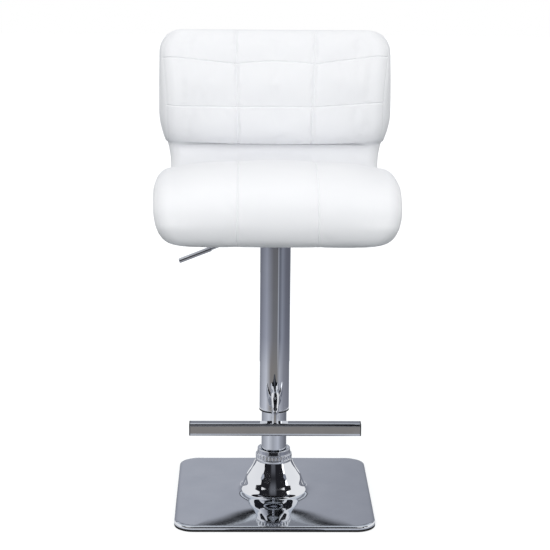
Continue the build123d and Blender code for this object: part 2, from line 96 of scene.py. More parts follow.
def per_metre(size_mm):
    """Texture scale that makes one cell of a pattern that many millimetres."""
    return 1000 / size_mm


# Materials


def white_leatherette():
    """Embossed PVC on knitted backing: soft satin white with fine pebble grain and faint clouding."""
    material, tree, shader, place = new_material("white_leatherette")
    clouds = put(tree, "TexNoise", {"Vector": place, "Scale": per_metre(90), "Detail": 3.0})
    tone = put(tree, "Mix", {"Factor": clouds.outputs["Fac"], "A": linear("EFF0F3"), "B": linear("F5F6F8")},
               data_type="RGBA")
    # The real pebble is about 0.8 mm; it is drawn at 1.6 mm so that it shows at all
    pebble = put(tree, "TexVoronoi", {"Vector": place, "Scale": per_metre(1.6)}, feature="SMOOTH_F1")
    creases = put(tree, "TexNoise", {"Vector": place, "Scale": per_metre(6), "Detail": 4.0})
    grain = put(tree, "Math", {0: pebble.outputs["Distance"], 1: creases.outputs["Fac"]},
                operation="MULTIPLY")
    bump = put(tree, "Bump", {"Strength": 0.16, "Distance": 0.25 * mm, "Height": grain.outputs["Value"]})
    wear = put(tree, "MapRange", {"Value": creases.outputs["Fac"], "To Min": 0.40, "To Max": 0.52})
    tree.links.new(tone.outputs["Result"], shader.inputs["Base Color"])
    tree.links.new(wear.outputs["Result"], shader.inputs["Roughness"])
    tree.links.new(bump.outputs["Normal"], shader.inputs["Normal"])
    set_shader(shader, IOR=1.48, Specular_IOR_Level=0.42)
    return material


def plated_metal(name, dull, bright, rough_low, rough_high):
    """Metal or metal plate: a cool mirror with a faint polishing haze, blurred as roughness rises."""
    material, tree, shader, place = new_material(name)
    haze = put(tree, "TexNoise", {"Vector": place, "Scale": per_metre(60), "Detail": 5.0})
    rough = put(tree, "MapRange", {"Value": haze.outputs["Fac"], "From Min": 0.3, "From Max": 0.7,
                                   "To Min": rough_low, "To Max": rough_high})
    tone = put(tree, "Mix", {"Factor": haze.outputs["Fac"], "A": linear(dull), "B": linear(bright)},
               data_type="RGBA")
    tree.links.new(tone.outputs["Result"], shader.inputs["Base Color"])
    tree.links.new(rough.outputs["Result"], shader.inputs["Roughness"])
    set_shader(shader, Metallic=1.0)
    return material


def moulded(name, dark, light, rough, grain_mm, depth_mm):
    """Moulded or coated surface: a near-even colour with a fine spark-eroded or sprayed texture."""
    material, tree, shader, place = new_material(name)
    speckle = put(tree, "TexNoise", {"Vector": place, "Scale": per_metre(grain_mm), "Detail": 2.0})
    tone = put(tree, "Mix", {"Factor": speckle.outputs["Fac"], "A": linear(dark), "B": linear(light)},
               data_type="RGBA")
    bump = put(tree, "Bump", {"Strength": 0.3, "Distance": depth_mm * mm, "Height": speckle.outputs["Fac"]})
    spread = 0.06
    shine = put(tree, "MapRange", {"Value": speckle.outputs["Fac"], "To Min": rough - spread,
                                   "To Max": rough + spread})
    tree.links.new(tone.outputs["Result"], shader.inputs["Base Color"])
    tree.links.new(shine.outputs["Result"], shader.inputs["Roughness"])
    tree.links.new(bump.outputs["Normal"], shader.inputs["Normal"])
    return material


leatherette = white_leatherette()
# Chromium is a sharp mirror, plated plastic a softer one, ground steel and zinc are dull grey
chrome = plated_metal("chromed_steel", "D3D6DC", "E6E8EC", 0.03, 0.06)
ground_steel = plated_metal("ground_steel", "A9ABAF", "C4C6CA", 0.22, 0.32)
satin_plate = plated_metal("satin_plated_abs", "C6C8CE", "D6D8DC", 0.12, 0.20)
zinc = plated_metal("zinc_plate", "A4A6AA", "BEC0C4", 0.30, 0.42)
# Rubber and cloth are matt and nearly black, nylon and powder coat have a soft sheen
rubber = moulded("black_rubber", "0B0B0C", "151516", 0.78, 0.9, 0.05)
nylon = moulded("black_nylon", "101011", "18181A", 0.5, 0.7, 0.03)
powder_coat = moulded("black_powder_coat", "0E0E0F", "161617", 0.42, 1.2, 0.04)
non_woven = moulded("black_non_woven_cloth", "08080A", "131316", 0.9, 1.5, 0.15)
brass = moulded("pressed_brass", "8F713A", "A98A4C", 0.4, 2.0, 0.02)
birch_ply = moulded("birch_plywood", "B58E5E", "CDA878", 0.6, 12.0, 0.05)

slot_materials = {
    "chromed_steel": chrome, "white_leatherette": leatherette, "black_rubber": rubber,
    "black_nylon": nylon, "grey_plastic": satin_plate, "ballast_iron": powder_coat, "zinc_steel": zinc,
    "bearing_steel": ground_steel, "brass_cage": brass, "black_paint": powder_coat,
    "black_cloth": non_woven, "plywood": birch_ply,
}
node_slots = {part["node"]: part["material_slot"] for part in frame["record"]["subparts"]}
for node_name, node_object in frame["nodes"].items():
    node_object.data.materials.clear()
    node_object.data.materials.append(slot_materials[node_slots[node_name]])


# Mesh helpers


def make_piece(name, vertices, faces, body, slot, nodes=(), crease=None):
    """Mesh object that rides on a body, takes a slot's finish and stands for CAD nodes."""
    mesh = bpy.data.meshes.new(name)
    mesh.from_pydata([tuple(v) for v in vertices], [], faces)
    shape = bmesh.new()
    shape.from_mesh(mesh)
    weld = 0.02 * mm
    bmesh.ops.remove_doubles(shape, verts=shape.verts, dist=weld)
    bmesh.ops.recalc_face_normals(shape, faces=shape.faces)
    shape.to_mesh(mesh)
    shape.free()
    if crease is None:
        mesh.shade_smooth()
    else:
        mesh.set_sharp_from_angle(angle=math.radians(crease))
    piece = bpy.data.objects.new(name, mesh)
    bpy.context.scene.collection.objects.link(piece)
    mesh.materials.append(slot_materials[slot])
    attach(piece, body)
    if nodes:
        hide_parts(*nodes)
    return piece


def stitch_rings(rings, closed_rings=True, close_ends=False):
    """Vertices and quads of rings with as many points each, in order."""
    count = len(rings[0])
    vertices = [point for ring in rings for point in ring]
    span = count if closed_rings else count - 1
    last = len(rings) if close_ends else len(rings) - 1
    faces = []
    for row in range(last):
        below = row * count
        above = (row + 1) % len(rings) * count
        for column in range(span):
            after = (column + 1) % count
            faces.append((below + column, below + after, above + after, above + column))
    return vertices, faces


def rounded_profile(corners, radius, steps=5):
    """Closed (radius, height) outline with each corner rounded by up to that radius.

    A point just outside every corner keeps the walls between them flat in the light.
    """
    outline = []
    count = len(corners)
    longest_reach = 0.45
    hold, hold_share = 0.4, 0.04
    for index, corner in enumerate(corners):
        here = Vector(corner)
        before = Vector(corners[index - 1]) - here
        after = Vector(corners[(index + 1) % count]) - here
        reach = min(radius, longest_reach * before.length, longest_reach * after.length)
        start = here + before.normalized() * reach
        end = here + after.normalized() * reach
        outline.append(start + before.normalized() * min(hold, hold_share * before.length))
        for step in range(steps + 1):
            share = step / steps
            outline.append(start.lerp(here, share).lerp(here.lerp(end, share), share))
        outline.append(end + after.normalized() * min(hold, hold_share * after.length))
    return outline


def lathe(outline, segments=128):
    """Rings of a closed outline turned about the column."""
    rings = []
    for number in range(segments):
        turn = 2 * math.pi * number / segments
        rings.append([(p[0] * math.cos(turn), p[0] * math.sin(turn), p[1]) for p in outline])
    return stitch_rings(rings, closed_rings=True, close_ends=True)


def arc_lengths(path):
    """Distance along a path at each of its points."""
    return np.concatenate([[0], np.cumsum(np.linalg.norm(np.diff(path, axis=0), axis=1))])


def spline_points(points, count):
    """Even samples of a natural cubic spline through 2D points, spaced by arc length."""
    knots = np.array(points, float)
    chord = arc_lengths(knots)
    size = len(knots)
    step = np.diff(chord)
    system = np.eye(size)
    right = np.zeros((size, 2))
    for row in range(1, size - 1):
        system[row, row - 1:row + 2] = step[row - 1], 2 * (step[row - 1] + step[row]), step[row]
        slope = np.diff(knots[row - 1:row + 2], axis=0) / step[row - 1:row + 1, None]
        right[row] = 6 * (slope[1] - slope[0])
    bend = np.linalg.solve(system, right)
    fine = np.linspace(0, chord[-1], 40 * size)
    cell = np.clip(np.searchsorted(chord, fine, side="right") - 1, 0, size - 2)
    width = step[cell][:, None]
    ahead = (chord[cell + 1] - fine)[:, None]
    behind = (fine - chord[cell])[:, None]
    path = (bend[cell] * ahead ** 3 + bend[cell + 1] * behind ** 3) / (6 * width)
    path += (knots[cell] / width - bend[cell] * width / 6) * ahead
    path += (knots[cell + 1] / width - bend[cell + 1] * width / 6) * behind
    length = arc_lengths(path)
    even = np.linspace(0, length[-1], count)
    return np.stack([np.interp(even, length, path[:, axis]) for axis in (0, 1)], axis=1)


# Upholstery: sizes in millimetres, read from the solids where they give them

seat_low, seat_high = (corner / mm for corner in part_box("seat_pad"))
back_low, back_high = (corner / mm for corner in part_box("back_pad"))
waist_half = 212
seat_half = seat_high.x
back_half = back_high.x + 1
seat_bottom = seat_low.z
crest = seat_high.z
back_top = back_high.z
nose = seat_low.y
lumbar = back_low.y
waist_y = 188
crease_z = crest - 1
bottom_run, bottom_inset = 70, 42      # corners of the front view under the seat
nose_run, nose_inset = 120, 5          # the seat narrows a little towards its front
back_corner = 45
seat_crown, back_crown = 13, 5         # drop of the sitting face towards its sides
seat_shoulder, back_shoulder = 32, 26  # roundness where the sitting face turns into the sides
rear_corner_seat, rear_corner_back = 2, 16
lower_seam = crest + 80                # heights of the two cross seams of the back
upper_seam = crest + 164
seam_share = 0.37                      # place of the lengthways seams among the columns
seam_places = (75, 73, 81)             # lengthways seams from the middle, at front, fold and top
seam_depth, seam_half = 1.6, 1.3
seam_start, seam_end = (85, 125), (260, 120)  # seams fade in after the hem and out before the fold
sewn_half = 3                          # strip beside a seam that the stuffing doesn't lift
scallop_reach = 60                     # how far a cross seam's rise carries the rows beside it
edge_seam_depth = 0.9
edge_seam, edge_seam_half = math.radians(52), 0.06
fold_depth, fold_half = 4.5, 1.2       # tucked fold under the lumbar roll
crown_power = 2.6
row_step, column_step = 5.0, 6.0       # mesh rows along the cover and columns across it
nominal_half = 200                     # half width that the column step is counted on
band_steps, band_swell = 14, 3         # rows of the side band and how far it swells
stuffing_limit = 9                     # furthest that the stuffing moves the cover
seat_stuffing = 0.3                    # firmer seat: share of that movement it keeps


def outline_points():
    """Side view of the upholstery as (y, z), once round from the fold under the lumbar roll."""
    back = [
        (waist_y, crease_z), (waist_y - 16, crease_z + 1), (lumbar + 17, crease_z + 13),
        (lumbar + 4, crease_z + 37), (lumbar, crease_z + 64), (lumbar + 2, crest + 98),
        (lumbar + 9, crest + 131), (lumbar + 22, crest + 166), (lumbar + 40, back_top - 28),
        (lumbar + 59, back_top - 8), (lumbar + 80, back_top), (lumbar + 102, back_top - 4),
        (lumbar + 117, back_top - 18),
        (lumbar + 121, back_top - 39), (lumbar + 115, back_top - 67), (lumbar + 103, crest + 123),
        (lumbar + 96, crest + 88), (lumbar + 97, crest + 53), (lumbar + 103, crest + 20),
        (lumbar + 107, crest - 17), (lumbar + 98, crest - 52), (lumbar + 76, seat_bottom + 44),
    ]
    seat = [
        (180, seat_bottom + 20), (140, seat_bottom + 6), (95, seat_bottom + 1), (40, seat_bottom),
        (-60, seat_bottom), (-115, seat_bottom - 0.5), (-155, seat_bottom - 2),
        (nose + 40, seat_bottom - 2.5), (nose + 23, seat_bottom + 1), (nose + 9, seat_bottom + 11),
        (nose + 2, seat_bottom + 26), (nose, seat_bottom + 43), (nose + 4, seat_bottom + 64),
        (nose + 14, seat_bottom + 86), (nose + 33, crest - 25), (nose + 62, crest - 12),
        (nose + 108, crest - 3), (nose + 168, crest - 1),
        (0, crest - 5), (50, crest - 15), (95, crest - 29), (130, crest - 35),
        (158, crest - 31), (177, crest - 20), (waist_y, crease_z),
    ]
    return back + seat


def smooth_step(value, start, end):
    """0 before the start, 1 after the end and a soft rise between them."""
    share = np.clip((value - start) / (end - start), 0, 1)
    return share * share * (3 - 2 * share)


def quarter_inset(distance, run, inset):
    """How far an elliptical corner of that run draws in, at a distance from its outer end."""
    share = np.clip(1 - distance / run, 0, 1)
    return inset * (1 - np.sqrt(1 - share ** 2))


def half_width(y, z):
    """Half of the upholstery's width at a point of its side view."""
    seat = seat_half + (waist_half - seat_half) * smooth_step(y, 40, waist_y)
    back = waist_half + (back_half - waist_half) * smooth_step(z, crest - 49, crest + 63)
    back = back - quarter_inset(back_top - z, back_corner, back_corner)
    seat = seat - nose_inset * np.clip(1 - (y - nose) / nose_run, 0, 1)
    both = seat + (back - seat) * smooth_step(y, 120, 185)
    return both - quarter_inset(z - seat_bottom, bottom_run, bottom_inset)


def nearest(path, point):
    """Number of the path's point closest to a point."""
    return int(np.argmin(np.linalg.norm(path - np.array(point), axis=1)))


def refined(low, high, step, places, reach=5, fine=0.65):
    """Even values with closer ones around the places of seams."""
    values = list(np.linspace(low, high, int((high - low) / step) + 1))
    for place in places:
        values = [v for v in values if abs(v - place) > reach]
        values += list(np.arange(place - reach, place + reach + fine / 2, fine))
    return np.array(sorted(v for v in values if low <= v <= high))


def groove(distance, depth, half_mm):
    """Dip of a sewn seam at a distance from it."""
    return -depth * np.exp(-(distance / half_mm) ** 2)


def side_view():
    """Sitting and outer side of the outline, both from the hem under the seat to the top."""
    loop = spline_points(outline_points(), 3000)
    top = int(np.argmax(loop[:, 1]))
    hem = nearest(loop, (-110, seat_bottom))
    sitting = np.concatenate([loop[hem:-1], loop[:top + 1]])
    outside = loop[top:hem + 1][::-1]
    # Places of the sitting side that lie opposite places of the outer side
    pairs = [
        ((nose, seat_bottom + 43), (-88, seat_bottom)),
        ((nose + 62, crest - 12), (-70, seat_bottom)),
        ((nose + 168, crest), (-30, seat_bottom)),
        ((50, crest - 15), (60, seat_bottom)),
        ((130, crest - 35), (150, seat_bottom + 8)),
        ((177, crest - 20), (lumbar + 98, crest - 52)),
        ((waist_y, crease_z), (lumbar + 107, crest - 12)),
        ((lumbar + 17, crease_z + 13), (lumbar + 104, crest + 14)),
        ((lumbar, crease_z + 64), (lumbar + 96, crest + 76)),
        ((lumbar + 22, crest + 166), (lumbar + 115, back_top - 67)),
        ((lumbar + 59, back_top - 8), (lumbar + 117, back_top - 18)),
    ]
    front_length = arc_lengths(sitting)
    rear_length = arc_lengths(outside)
    front_keys = [0] + [front_length[nearest(sitting, a)] for a, b in pairs] + [front_length[-1]]
    rear_keys = [0] + [rear_length[nearest(outside, b)] for a, b in pairs] + [rear_length[-1]]
    return sitting, front_length, outside, rear_length, front_keys, rear_keys


def stuffed(face, sewn, softness):
    """Blows the sitting face out between its seams: cloth under pressure, held where it is sewn."""
    row_count, column_count = sewn.shape
    vertices, faces = stitch_rings([[tuple(p * mm) for p in row] for row in face], closed_rings=False)
    mesh = bpy.data.meshes.new("stuffing")
    mesh.from_pydata(vertices, [], faces)
    cover = bpy.data.objects.new("stuffing", mesh)
    bpy.context.scene.collection.objects.link(cover)
    held = cover.vertex_groups.new(name="sewn")
    for index, weight in enumerate(sewn.ravel()):
        held.add([index], float(weight), "REPLACE")
    cloth = cover.modifiers.new("cloth", "CLOTH")
    cloth.settings.quality = 5
    cloth.settings.mass = 0.35
    cloth.settings.tension_stiffness = 25
    cloth.settings.compression_stiffness = 12
    cloth.settings.shear_stiffness = 8
    cloth.settings.bending_stiffness = 1.5
    cloth.settings.shrink_min = -0.012
    cloth.settings.use_pressure = True
    cloth.settings.uniform_pressure_force = 4
    cloth.settings.vertex_group_mass = "sewn"
    cloth.settings.effector_weights.gravity = 0
    cloth.collision_settings.use_collision = False
    scene = bpy.context.scene
    last_frame = 16
    cloth.point_cache.frame_end = last_frame
    for number in range(1, last_frame + 1):
        scene.frame_set(number)
    result = cover.evaluated_get(bpy.context.evaluated_depsgraph_get()).to_mesh()
    moved = np.empty(len(result.vertices) * 3, np.float32)
    result.vertices.foreach_get("co", moved)
    scene.frame_set(1)
    bpy.data.objects.remove(cover)
    moved = moved.reshape(row_count, column_count, 3).astype(float) / mm - face
    far = np.linalg.norm(moved, axis=2, keepdims=True)
    return face + moved * np.minimum(1, stuffing_limit / np.maximum(far, 1e-6)) * softness[:, :, None]


def upholstery():
    """Quilted cover of seat and back: rows run along the side view, columns across it."""
    sitting, front_length, outside, rear_length, front_keys, rear_keys = side_view()
    fold = front_length[nearest(sitting, (waist_y, crease_z))]
    past_fold = front_length > fold
    seam_at = [float(np.interp(height, sitting[past_fold, 1], front_length[past_fold]))
               for height in (lower_seam, upper_seam)]
    rows = refined(0, front_length[-1], row_step, [fold, *seam_at])
    seam_columns = [-nominal_half * seam_share, nominal_half * seam_share]
    flat = refined(-nominal_half, nominal_half, column_step, seam_columns) / nominal_half

    # Cross seams rise between the lengthways seams and towards the sides, a little more on the right
    side = np.clip((np.abs(flat) - seam_share) / (1 - seam_share), 0, 1)
    centre = np.clip(1 - (flat / seam_share) ** 2, 0, 1)
    shift = np.zeros((len(rows), len(flat)))
    for place, left_rise, right_rise, centre_rise in ((seam_at[0], 1, 9, 1), (seam_at[1], 15, 20, 6)):
        scallop = np.where(flat < 0, left_rise, right_rise) * side + centre_rise * centre
        shift += np.clip(1 - np.abs(rows - place) / scallop_reach, 0, 1)[:, None] * scallop[None, :]
    along = np.clip(rows[:, None] + shift, 0, front_length[-1])
    y = np.interp(along, front_length, sitting[:, 0])
    z = np.interp(along, front_length, sitting[:, 1])
    tangent = np.gradient(sitting, front_length, axis=0)
    slope_y = np.interp(along, front_length, tangent[:, 0])
    slope_z = np.interp(along, front_length, tangent[:, 1])
    norm = np.hypot(slope_y, slope_z)
    out_y, out_z = -slope_z / norm, slope_y / norm

    # Crown of the seat and the back, as heights above the side view
    base = rows[:, None]
    back_share = smooth_step(base, fold, fold + 14)
    up_share = 1 - smooth_step(base, fold - 60, fold)
    crown = seat_crown * up_share * np.clip(out_z, 0, 1) + back_crown * (1 - up_share)
    taper = smooth_step(base, 0, 60) * (1 - smooth_step(base, front_length[-1] - 40, front_length[-1]))
    height = -crown * np.abs(flat)[None, :] ** crown_power * taper

    # Outer side, row by row opposite the sitting side
    rear_at = np.interp(rows, front_keys, rear_keys)
    rear_y = np.interp(rear_at, rear_length, outside[:, 0])
    rear_z = np.interp(rear_at, rear_length, outside[:, 1])
    rear_half = half_width(rear_y, rear_z)
    finish = np.stack([rear_y, rear_z], axis=1)
    edges = {}
    for name, column in (("left", 0), ("right", -1)):
        edges[name] = np.stack([y[:, column] + out_y[:, column] * height[:, column],
                                z[:, column] + out_z[:, column] * height[:, column]], axis=1)
    depths = {name: np.maximum(np.linalg.norm(finish - edge, axis=1), 1e-6) for name, edge in edges.items()}
    depth = np.minimum(depths["left"], depths["right"])
    on_back = back_share[:, 0]
    shoulder = seat_shoulder + (back_shoulder - seat_shoulder) * on_back
    shoulder = np.minimum(shoulder, 0.5 * depth)
    rear_corner = rear_corner_seat + (rear_corner_back - rear_corner_seat) * on_back
    rear_corner = np.minimum(rear_corner, 0.3 * depth)

    # Sitting face, stuffed between its seams and drawn in along them
    half_flat = half_width(y, z) - shoulder[:, None]
    seam_x = np.interp(rows, [0, fold, front_length[-1]], seam_places)[:, None]
    inner = flat[None, :] / seam_share * seam_x
    outer = np.sign(flat)[None, :] * (seam_x + side[None, :] * (half_flat - seam_x))
    x = np.where(np.abs(flat)[None, :] <= seam_share, inner, outer)
    x = x * np.minimum(1, half_flat / (seam_x + 20))
    from_seam = np.abs(np.abs(x) - seam_x)
    crossing = np.min(np.abs(base - np.array([seam_at])), axis=1, keepdims=True)
    to_top = front_length[-1] - base
    fade_out = smooth_step(base, fold - seam_end[0], fold - seam_end[1])
    seam_fade = smooth_step(base, *seam_start) * (1 - fade_out) + back_share
    seam_fade = seam_fade * smooth_step(to_top, 3, 16)
    near_edge = np.minimum(smooth_step(base, 0, 30), smooth_step(to_top, 0, 30))
    inside = 1 - smooth_step(np.abs(flat)[None, :], 0.9, 1.0)
    free = near_edge * inside * smooth_step(np.abs(base - fold), 6, 22)
    free = free * (1 - seam_fade * np.exp(-(from_seam / sewn_half) ** 2))
    free = free * (1 - np.exp(-(crossing / sewn_half) ** 2))
    face = np.stack([x, y + out_y * height, z + out_z * height], axis=2)
    face = stuffed(face, 1 - free, seat_stuffing + (1 - seat_stuffing) * back_share)
    cross_dip = groove(crossing, seam_depth, seam_half)
    dip = seam_fade * groove(from_seam, seam_depth, seam_half) + cross_dip
    dip = dip + inside * groove(base - fold, fold_depth, fold_half)
    face[:, :, 1] += out_y * dip
    face[:, :, 2] += out_z * dip

    # Sides: a round shoulder with its seam, a gently swollen band and a smaller rear corner
    shoulder_turns = np.radians(np.concatenate([
        np.arange(8, 44, 6), np.arange(45, 60, 2.5), np.arange(66, 91, 6),
    ]))
    full = np.minimum(1, depth / 40) * (0.3 + 0.7 * on_back) * shoulder / back_shoulder

    def side_band(row, name):
        """Points from the sitting face round to the rear along one side of a row."""
        depth_here = depths[name][row]
        aim = (finish[row] - edges[name][row]) / depth_here
        radius = shoulder[row]
        corner = rear_corner[row]
        inward = []
        inset = []
        for turn in shoulder_turns:
            sewn = edge_seam_depth * math.exp(-((turn - edge_seam) / edge_seam_half) ** 2) * full[row]
            crossed = cross_dip[row, 0] * min(1, radius / back_shoulder) if turn < edge_seam else 0
            reach = radius - sewn + crossed
            inward.append(radius - reach * math.cos(turn))
            inset.append(radius - reach * math.sin(turn))
        for share in np.arange(1, band_steps) / band_steps:
            inward.append(radius + share * (depth_here - radius - corner))
            inset.append(-band_swell * math.sin(math.pi * share) * full[row] * on_back[row])
        for turn in np.radians(np.arange(0, 90, 15)):
            inward.append(depth_here - corner + corner * math.sin(turn))
            inset.append(corner - corner * math.cos(turn))
        line = edges[name][row][None, :] + aim[None, :] * np.array(inward)[:, None]
        side_x = half_width(line[:, 0], line[:, 1]) - np.array(inset)
        return [(px, py, pz) for px, (py, pz) in zip(side_x, line)]

    rings = []
    for row in range(len(rows)):
        right = side_band(row, "right")
        left = [(-px, py, pz) for px, py, pz in side_band(row, "left")[::-1]]
        across = x[row] / half_flat[row] * (rear_half[row] - rear_corner[row])
        rear = [(px, *finish[row]) for px in across[::-1]]
        rings.append([(px * mm, py * mm, pz * mm) for px, py, pz in [*face[row], *right, *rear, *left]])
    vertices, faces = stitch_rings(rings)
    piece = make_piece("upholstery", vertices, faces, "carriage", "white_leatherette",
                       ("seat_pad", "waist_pad", "back_pad", "rear_pad", "under_pad"))
    return piece


upholstery()


# Base


def rounded_square(half, corner, steps=18, straight=20):
    """Points (x, y) once round a square with round corners."""
    points = []
    for quarter in range(4):
        turn = Matrix.Rotation(math.pi / 2 * quarter, 2)
        for step in range(straight):
            points.append(turn @ Vector((half, (2 * step / straight - 1) * (half - corner))))
        for step in range(steps):
            angle = math.pi / 2 * step / steps
            points.append(turn @ Vector((half - corner + corner * math.cos(angle),
                                         half - corner + corner * math.sin(angle))))
    return points


base_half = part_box("base_shell")[1].x / mm
bell_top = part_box("base_shell")[1].z / mm
rim_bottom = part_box("base_shell")[0].z / mm
base_corner = 38
bell_foot = 82


def base_cover():
    """Pressed cover: a bell that runs out into a square plate with a rolled rim."""
    profile = spline_points([
        (36.5, bell_top), (44.5, 61.5), (56.5, 42), (63, 25.5), (68.5, 19), (76, 16.4), (86, 15.3),
        (110, 14.1), (150, 12.2), (base_half - 4, 10.4),
    ], 90)
    rim = [(base_half - 1.6, 9.9), (base_half - 0.4, 8.9), (base_half, 7.6),
           (base_half, rim_bottom + 1), (base_half - 0.5, rim_bottom), (base_half - 2, rim_bottom)]
    square = rounded_square(base_half, base_corner)
    rings = []
    for radius, height in [*profile, *rim]:
        share = np.clip((radius - bell_foot) / (base_half - bell_foot), 0, 1) ** 2
        ring = []
        for corner in square:
            reach = corner.length
            out = radius + (reach - base_half) * share
            ring.append((corner.x / reach * out * mm, corner.y / reach * out * mm, height * mm))
        rings.append(ring)
    vertices, faces = stitch_rings(rings)
    make_piece("base_cover", vertices, faces, "base", "chromed_steel", ("base_shell",))


def floor_mat():
    """Rubber mat under the base with a softened edge."""
    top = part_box("floor_mat")[1].z / mm
    rings = []
    for inset, height in ((150, 0), (0.8, 0), (0.2, 0.3), (0, 0.9), (0, top), (3, top)):
        outline = rounded_square(base_half - inset, max(base_corner - inset, 5))
        rings.append([(p.x * mm, p.y * mm, height * mm) for p in outline])
    vertices, faces = stitch_rings(rings)
    faces.append(tuple(range(len(rings[0]))))
    make_piece("rubber_mat", vertices, faces, "base", "black_rubber", ("floor_mat",))


base_cover()
floor_mat()


# Column


def turned_piece(name, corners, radius, body, slot, nodes):
    """Piece turned about the column from the corners of its section."""
    vertices, faces = lathe([(p.x * mm, p.y * mm) for p in rounded_profile(corners, radius)])
    return make_piece(name, vertices, faces, body, slot, nodes, crease=50)


def column():
    """Inner tube, sliding sleeve and its black glide ring."""
    pillar_low, pillar_high = (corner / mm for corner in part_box("pillar_tube"))
    sleeve_low, sleeve_high = (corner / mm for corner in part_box("sleeve_tube"))
    ring_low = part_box("sleeve_end_ring")[0] / mm
    pillar_wall, sleeve_wall, glide_gap, ring_rise = 2, 1.5, 0.3, 22
    outer, inner = pillar_high.x, pillar_high.x - pillar_wall
    turned_piece("inner_tube", [
        (inner, pillar_low.z), (outer, pillar_low.z), (outer, pillar_high.z), (inner, pillar_high.z),
    ], 0.8, "base", "chromed_steel", ("pillar_tube",))
    wide, bore = sleeve_high.x, sleeve_high.x - sleeve_wall
    turned_piece("sliding_sleeve", [
        (bore, sleeve_low.z), (wide, sleeve_low.z), (wide, sleeve_high.z), (bore, sleeve_high.z),
    ], 0.6, "carriage", "chromed_steel", ("sleeve_tube",))
    glide = outer + glide_gap
    ring_top = sleeve_low.z + ring_rise
    turned_piece("glide_ring", [
        (glide, ring_low.z), (wide, ring_low.z), (wide, sleeve_low.z),
        (bore, sleeve_low.z), (bore, ring_top), (glide, ring_top),
    ], 0.8, "carriage", "black_nylon", ("sleeve_end_ring",))


def collar():
    """Cast collar: smooth foot, a band of upright beads and a stepped top ring."""
    low, high = (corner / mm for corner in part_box("bell_collar"))
    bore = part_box("pillar_tube")[1].x / mm
    beads, bead_steps, bead_depth = 26, 12, 2.2
    band_low, band_high, band_radius = low.z + 6.6, low.z + 13.8, 34
    outline = rounded_profile([
        (bore, low.z), (36.4, low.z), (36.2, low.z + 4.5), (34.6, low.z + 5.6), (34.6, low.z + 6.2),
        (36.8, low.z + 7), (36.0, low.z + 13.4), (33.4, low.z + 14.2), (33.2, low.z + 15),
        (34.0, low.z + 16), (32.6, high.z), (29.4, high.z), (28.6, high.z - 5), (bore, high.z - 5),
    ], 0.7, 6)
    segments = beads * bead_steps
    rings = []
    for number in range(segments):
        turn = 2 * math.pi * number / segments
        wave = (number % bead_steps) / bead_steps * 2 - 1
        hollow = bead_depth * (1 - math.sqrt(1 - wave ** 2))
        ring = []
        for p in outline:
            in_band = band_low < p.y < band_high and p.x > band_radius
            radius = p.x - hollow if in_band else p.x
            ring.append((radius * math.cos(turn) * mm, radius * math.sin(turn) * mm, p.y * mm))
        rings.append(ring)
    vertices, faces = stitch_rings(rings, close_ends=True)
    make_piece("beaded_collar", vertices, faces, "base", "chromed_steel", ("bell_collar",), crease=40)


column()
collar()


# Foot rest


def swept(path, radii, sides=40):
    """Vertices and faces of a round bar along 3D points, closed at both ends."""
    rings = []
    for index, point in enumerate(path):
        ahead = path[min(index + 1, len(path) - 1)]
        behind = path[max(index - 1, 0)]
        line = (ahead - behind).normalized()
        across = Vector((1, 0, 0)) if abs(line.x) < 0.9 else Vector((0, 1, 0))
        up = line.cross(across).normalized()
        across = up.cross(line).normalized()
        radius = radii[index]
        rings.append([point + radius * (math.cos(2 * math.pi * n / sides) * across
                                        + math.sin(2 * math.pi * n / sides) * up) for n in range(sides)])
    vertices, faces = stitch_rings(rings)
    faces.append(tuple(range(sides)))
    faces.append(tuple(range(len(vertices) - sides, len(vertices)))[::-1])
    return [v * mm for v in vertices], faces


def foot_rest():
    """Bent stem from the sleeve to the middle of a square tube with plugged ends."""
    low, high = (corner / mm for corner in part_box("foot_bar"))
    stem_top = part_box("foot_stem")[1].z / mm
    reach = (low.y + high.y) / 2
    stem_radius, stem_taper = 8.8, 2.8
    axis_drop, bend = 11, 34
    height = stem_top - axis_drop
    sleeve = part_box("sleeve_tube")[1].x / mm
    path = [Vector((0, -sleeve + 3, height)), Vector((0, -sleeve - 6, height))]
    for step in range(13):
        turn = math.pi / 2 * step / 12
        path.append(Vector((0, reach + bend - bend * math.sin(turn),
                            height - bend + bend * math.cos(turn))))
    path.append(Vector((0, reach, high.z - 0.2)))
    radii = [stem_radius - stem_taper * number / (len(path) - 1) for number in range(len(path))]
    vertices, faces = swept(path, radii)
    make_piece("bent_stem", vertices, faces, "carriage", "chromed_steel", ("foot_stem",), crease=50)

    bar_corner = 5.5
    half = (high.z - low.z) / 2
    middle = (low.z + high.z) / 2
    section = rounded_profile([(-half, -half), (half, -half), (half, half), (-half, half)], bar_corner, 8)
    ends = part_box("bar_end_caps")[1].x / mm
    rings = [[(x * mm, (reach + p.x) * mm, (middle + p.y) * mm) for p in section]
             for x in np.linspace(low.x, high.x, 24)]
    vertices, faces = stitch_rings(rings)
    faces.append(tuple(range(len(section))))
    faces.append(tuple(range(len(vertices) - len(section), len(vertices)))[::-1])
    make_piece("square_bar", vertices, faces, "carriage", "chromed_steel", ("foot_bar",), crease=50)
    vertices = []
    faces = []
    for sign in (-1, 1):
        rings = []
        for x, scale in ((high.x, 0.0), (high.x, 1.0), (ends - 0.5, 1.0), (ends, 0.96), (ends, 0.0)):
            rings.append([(sign * x * mm, (reach + p.x * scale) * mm, (middle + p.y * scale) * mm)
                          for p in section])
        plug, plug_faces = stitch_rings(rings)
        faces += [tuple(index + len(vertices) for index in face) for face in plug_faces]
        vertices += plug
    make_piece("bar_plugs", vertices, faces, "carriage", "black_nylon", ("bar_end_caps",), crease=50)


foot_rest()


# Height lever


